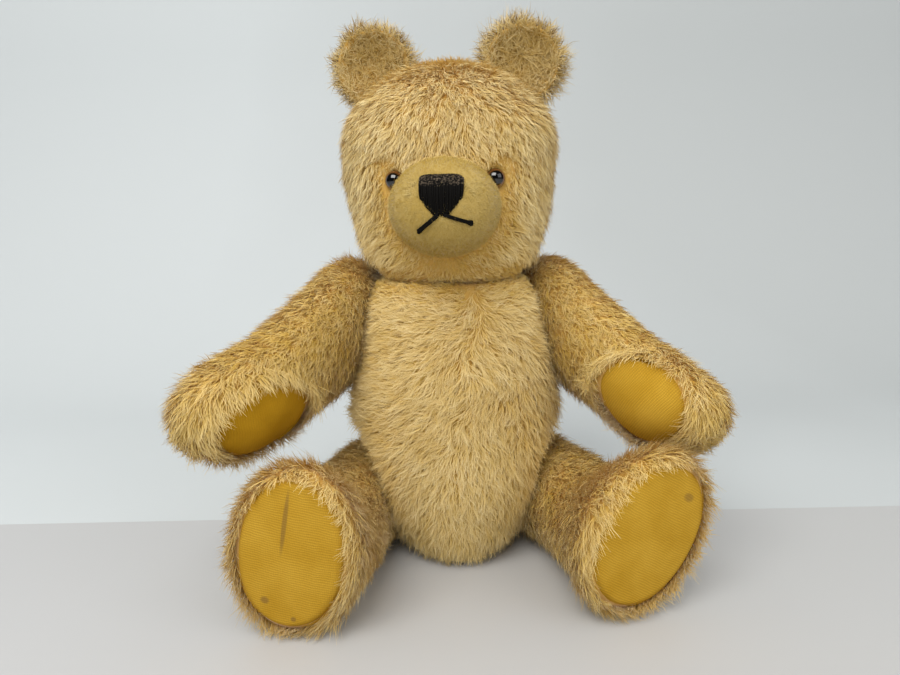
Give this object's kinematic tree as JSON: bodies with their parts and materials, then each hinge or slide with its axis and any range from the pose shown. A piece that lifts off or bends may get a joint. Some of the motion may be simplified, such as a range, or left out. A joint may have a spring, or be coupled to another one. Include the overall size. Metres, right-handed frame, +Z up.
{
  "type": "jointed teddy bear",
  "caption": "Jointed teddy bear in pale curly mohair with felt pads, glass eyes and a stitched nose, whose head and limbs turn on disc joints.",
  "frame": {"origin": "on the surface it sits on, at the middle of the flat seat of the torso", "axes": "+Z up, the bear faces -Y, its own left side is +X"},
  "size_m": [0.2992, 0.1787, 0.321],
  "materials": {
    "mohair": "matte",
    "short_plush": "matte",
    "felt": "matte",
    "black_thread": "satin",
    "wood_wool": "matte",
    "fibreboard": "matte",
    "card": "matte",
    "steel": "satin",
    "eye_glass": "gloss"
  },
  "bodies": {
    "torso": {"torso_back_panel": "mohair", "torso_disc_hip_left": "fibreboard", "torso_disc_hip_right": "fibreboard", "torso_disc_neck": "fibreboard", "torso_disc_shoulder_left": "fibreboard", "torso_disc_shoulder_right": "fibreboard", "torso_front_panel": "mohair", "torso_stuffing": "wood_wool", "torso_washers": "steel"},
    "head": {"ear_back_left": "mohair", "ear_back_right": "mohair", "ear_lining_left": "mohair", "ear_lining_right": "mohair", "eye_left": "eye_glass", "eye_right": "eye_glass", "eye_shanks": "steel", "head_gusset": "mohair", "head_side_left": "mohair", "head_side_right": "mohair", "head_stuffing": "wood_wool", "mouth_stitching": "black_thread", "muzzle_inset": "short_plush", "neck_cotter_pin": "steel", "neck_disc": "fibreboard", "neck_washer": "steel", "nose_stitching": "black_thread"},
    "arm_left": {"arm_cotter_pin_left": "steel", "arm_disc_left": "fibreboard", "arm_inner_panel_left": "mohair", "arm_outer_panel_left": "mohair", "arm_paw_pad_left": "felt", "arm_stuffing_left": "wood_wool", "arm_washer_left": "steel"},
    "arm_right": {"arm_cotter_pin_right": "steel", "arm_disc_right": "fibreboard", "arm_inner_panel_right": "mohair", "arm_outer_panel_right": "mohair", "arm_paw_pad_right": "felt", "arm_stuffing_right": "wood_wool", "arm_washer_right": "steel"},
    "leg_left": {"leg_cotter_pin_left": "steel", "leg_disc_left": "fibreboard", "leg_inner_panel_left": "mohair", "leg_insole_card_left": "card", "leg_outer_panel_left": "mohair", "leg_sole_pad_left": "felt", "leg_stuffing_left": "wood_wool", "leg_washer_left": "steel"},
    "leg_right": {"leg_cotter_pin_right": "steel", "leg_disc_right": "fibreboard", "leg_inner_panel_right": "mohair", "leg_insole_card_right": "card", "leg_outer_panel_right": "mohair", "leg_sole_pad_right": "felt", "leg_stuffing_right": "wood_wool", "leg_washer_right": "steel"}
  },
  "joints": [
    {"name": "neck_turn", "type": "hinge", "parent": "torso", "child": "head", "pos_m": [0, 0, 0.172], "axis": [0, 0, 1], "continuous": true},
    {"name": "shoulder_left", "type": "hinge", "parent": "torso", "child": "arm_left", "pos_m": [0.05, 0.009, 0.145], "axis": [-0.9633, -0.2048, -0.1736], "range_deg": [-18, 70]},
    {"name": "shoulder_right", "type": "hinge", "parent": "torso", "child": "arm_right", "pos_m": [-0.05, 0.009, 0.145], "axis": [-0.9633, 0.2048, 0.1736], "range_deg": [-18, 70]},
    {"name": "hip_left", "type": "hinge", "parent": "torso", "child": "leg_left", "pos_m": [0.0325, 0.008, 0.031], "axis": [-0.9703, -0.2419, 0], "range_deg": [-105, 5]},
    {"name": "hip_right", "type": "hinge", "parent": "torso", "child": "leg_right", "pos_m": [-0.0325, 0.008, 0.031], "axis": [-0.9703, 0.2419, 0], "range_deg": [-105, 5]}
  ]
}
